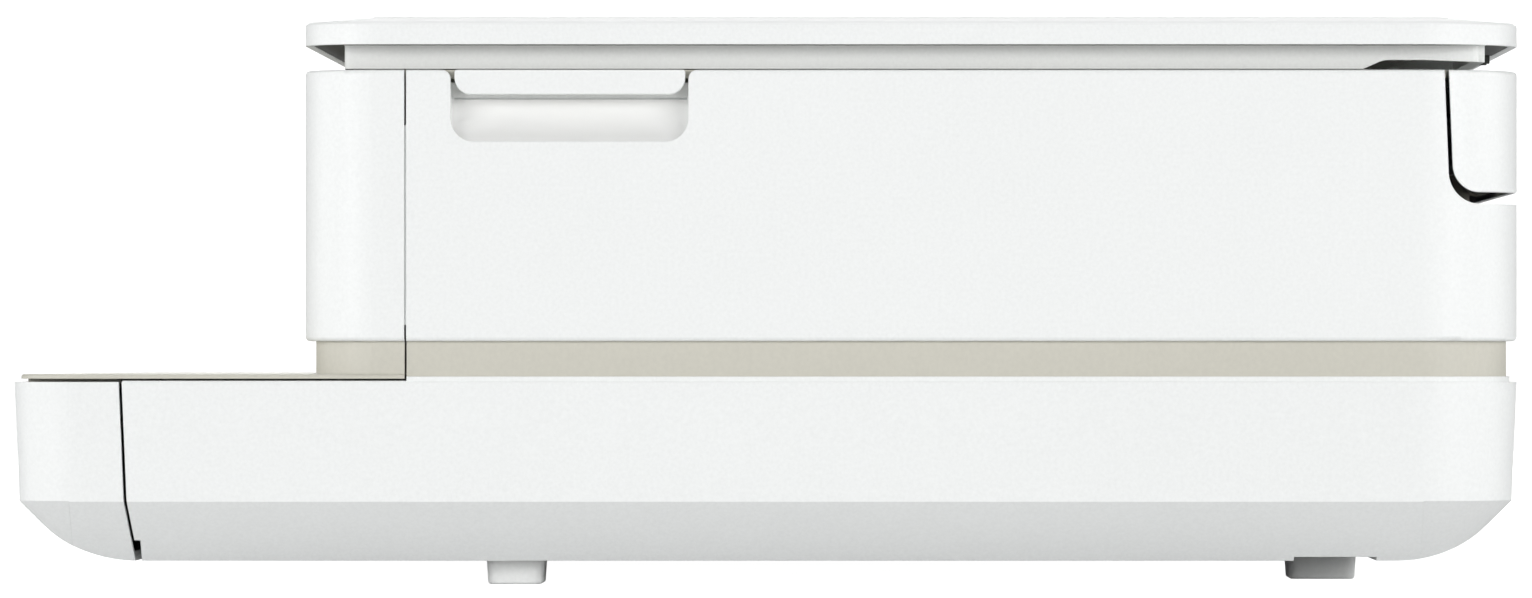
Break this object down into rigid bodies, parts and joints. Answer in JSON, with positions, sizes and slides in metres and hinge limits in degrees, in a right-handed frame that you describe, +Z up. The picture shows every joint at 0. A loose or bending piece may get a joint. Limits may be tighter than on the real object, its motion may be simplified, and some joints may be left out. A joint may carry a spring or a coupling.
{
  "type": "inkjet printer",
  "caption": "Compact all-in-one inkjet printer: sheet tray in the base, print engine and control panel in the middle, and a flatbed scanner with a hinged lid on top.",
  "frame": {"origin": "on the standing surface, under the centre of the base's outline", "axes": "+X towards the right side seen from the front, -Y towards the front with the tray and the control panel, +Z up"},
  "size_m": [0.433, 0.3823, 0.1445],
  "materials": {
    "housing_white": "satin",
    "band_beige": "matte",
    "trim_light_grey": "matte",
    "tray_grey": "matte",
    "gear_white": "satin",
    "panel_black": "gloss",
    "display_glass": "gloss",
    "circuit_board": "satin",
    "engine_black": "matte",
    "engine_grey": "matte",
    "plated_steel": "satin",
    "polished_steel": "polished",
    "motor_steel": "satin",
    "belt_rubber": "matte",
    "cartridge_black": "satin",
    "cartridge_grey": "satin",
    "roller_rubber": "matte",
    "scanner_glass": "gloss",
    "pad_foam": "matte",
    "foot_rubber": "matte",
    "button_white": "satin"
  },
  "bodies": {
    "housing": {"base_shell": "housing_white", "mid_frame": "band_beige", "output_shelf": "band_beige", "upper_shell": "housing_white", "front_cover": "housing_white", "panel_bezel": "panel_black", "display_glass": "display_glass", "control_board": "circuit_board", "power_inlet": "engine_black", "usb_port": "plated_steel", "main_board": "circuit_board", "power_supply": "engine_black", "chassis_left": "plated_steel", "chassis_right": "plated_steel", "carriage_rod": "polished_steel", "carriage_beam": "plated_steel", "carriage_motor": "motor_steel", "carriage_belt": "belt_rubber", "feed_motor": "motor_steel", "transfer_belt": "belt_rubber", "platen": "engine_black", "star_wheel_bar": "engine_black", "service_station": "engine_grey", "cap_seals": "belt_rubber", "rear_paper_guide": "engine_black", "feet": "foot_rubber", "housing_screws": "plated_steel"},
    "tray": {"tray_front": "housing_white", "tray_pan": "tray_grey"},
    "left_guide": {"width_guide_left": "trim_light_grey"},
    "right_guide": {"width_guide_right": "trim_light_grey"},
    "guide_gear": {"guide_pinion": "gear_white"},
    "rear_stop": {"length_guide": "trim_light_grey"},
    "extender": {"output_extender": "band_beige"},
    "stop_flap": {"output_stop": "band_beige"},
    "power_key": {"power_button": "button_white"},
    "wireless_key": {"wireless_button": "button_white"},
    "copy_key": {"copy_button": "button_white"},
    "carriage_unit": {"carriage": "engine_black"},
    "black_ink": {"black_cartridge": "cartridge_black"},
    "color_ink": {"color_cartridge": "cartridge_grey"},
    "drive_pulley": {"carriage_pulley": "gear_white"},
    "tension_pulley": {"idler_pulley": "gear_white"},
    "feed_shaft": {"feed_roller": "roller_rubber", "feed_gear": "gear_white"},
    "exit_shaft": {"discharge_roller": "roller_rubber"},
    "feed_pinion": {"motor_pinion": "gear_white"},
    "pick_lever": {"pick_arm": "engine_grey"},
    "pick_wheel": {"pick_roller": "roller_rubber"},
    "scanner": {"scanner_frame": "band_beige", "rear_cover": "housing_white", "lift_tabs": "housing_white", "scanner_glass": "scanner_glass", "scanner_pan": "engine_black", "scan_rail": "polished_steel", "lid_hinges": "trim_light_grey"},
    "scan_head": {"scan_bar": "engine_black"},
    "lid": {"lid_cover": "housing_white", "lid_frame": "trim_light_grey", "lid_pad": "pad_foam"}
  },
  "joints": [
    {"name": "tray_slide", "type": "slide", "parent": "housing", "child": "tray", "axis": [0, -1, 0], "range_m": [0, 0.2]},
    {"name": "right_guide_slide", "type": "slide", "parent": "tray", "child": "right_guide", "axis": [-1, 0, 0], "range_m": [0, 0.055]},
    {"name": "left_guide_slide", "type": "slide", "parent": "tray", "child": "left_guide", "axis": [1, 0, 0], "range_m": [0, 0.055]},
    {"name": "guide_gear_spin", "type": "hinge", "parent": "tray", "child": "guide_gear", "pos_m": [0, -0.04, 0.0117], "axis": [0, 0, 1], "range_deg": [0, 394]},
    {"name": "rear_stop_slide", "type": "slide", "parent": "tray", "child": "rear_stop", "axis": [0, 1, 0], "range_m": [0, 0.085]},
    {"name": "extender_slide", "type": "slide", "parent": "housing", "child": "extender", "axis": [0, -1, 0], "range_m": [0, 0.08]},
    {"name": "stop_flap_hinge", "type": "hinge", "parent": "extender", "child": "stop_flap", "pos_m": [0, -0.1848, 0.0531], "axis": [1, 0, 0], "range_deg": [0, 100]},
    {"name": "power_key_press", "type": "slide", "parent": "housing", "child": "power_key", "axis": [0, 1, 0], "range_m": [0, 0.0007], "stiffness_N_per_m": 300, "springref_m": -0.001},
    {"name": "wireless_key_press", "type": "slide", "parent": "housing", "child": "wireless_key", "axis": [0, 1, 0], "range_m": [0, 0.0007], "stiffness_N_per_m": 300, "springref_m": -0.001},
    {"name": "copy_key_press", "type": "slide", "parent": "housing", "child": "copy_key", "axis": [0, 1, 0], "range_m": [0, 0.0007], "stiffness_N_per_m": 300, "springref_m": -0.001},
    {"name": "carriage_slide", "type": "slide", "parent": "housing", "child": "carriage_unit", "axis": [-1, 0, 0], "range_m": [0, 0.278]},
    {"name": "black_ink_lift", "type": "slide", "parent": "carriage_unit", "child": "black_ink", "axis": [0, 0, 1], "range_m": [0, 0.028]},
    {"name": "color_ink_lift", "type": "slide", "parent": "carriage_unit", "child": "color_ink", "axis": [0, 0, 1], "range_m": [0, 0.028]},
    {"name": "drive_pulley_spin", "type": "hinge", "parent": "housing", "child": "drive_pulley", "pos_m": [-0.152, 0.077, 0.09], "axis": [0, 1, 0], "range_deg": [-2494.6, 2494.6]},
    {"name": "tension_pulley_spin", "type": "hinge", "parent": "housing", "child": "tension_pulley", "pos_m": [0.186, 0.077, 0.09], "axis": [0, 1, 0], "range_deg": [-2494.6, 2494.6]},
    {"name": "feed_shaft_spin", "type": "hinge", "parent": "housing", "child": "feed_shaft", "pos_m": [-0.02, 0.072, 0.0626], "axis": [1, 0, 0], "continuous": true},
    {"name": "exit_shaft_spin", "type": "hinge", "parent": "housing", "child": "exit_shaft", "pos_m": [-0.02, -0.03, 0.0626], "axis": [1, 0, 0], "continuous": true},
    {"name": "feed_pinion_spin", "type": "hinge", "parent": "housing", "child": "feed_pinion", "pos_m": [-0.1735, 0.081, 0.07819], "axis": [1, 0, 0], "continuous": true},
    {"name": "pick_lever_hinge", "type": "hinge", "parent": "housing", "child": "pick_lever", "pos_m": [0, 0.096, 0.06], "axis": [1, 0, 0], "range_deg": [-25, 0]},
    {"name": "pick_wheel_spin", "type": "hinge", "parent": "pick_lever", "child": "pick_wheel", "pos_m": [0, 0.062, 0.024], "axis": [1, 0, 0], "continuous": true},
    {"name": "scanner_hinge", "type": "hinge", "parent": "housing", "child": "scanner", "pos_m": [0, 0.1835, 0.105], "axis": [-1, 0, 0], "range_deg": [0, 45]},
    {"name": "scan_head_slide", "type": "slide", "parent": "scanner", "child": "scan_head", "axis": [1, 0, 0], "range_m": [0, 0.28]},
    {"name": "lid_hinge", "type": "hinge", "parent": "scanner", "child": "lid", "pos_m": [0, 0.185, 0.138], "axis": [-1, 0, 0], "range_deg": [0, 80]}
  ],
  "couplings": [
    {"joint": "left_guide_slide", "follows": "right_guide_slide", "ratio": 1},
    {"joint": "guide_gear_spin", "follows": "right_guide_slide", "rad_per_m": 125},
    {"joint": "drive_pulley_spin", "follows": "carriage_slide", "rad_per_m": -153.85},
    {"joint": "tension_pulley_spin", "follows": "carriage_slide", "rad_per_m": -153.85},
    {"joint": "feed_pinion_spin", "follows": "feed_shaft_spin", "ratio": -2},
    {"joint": "exit_shaft_spin", "follows": "feed_shaft_spin", "ratio": 1}
  ]
}
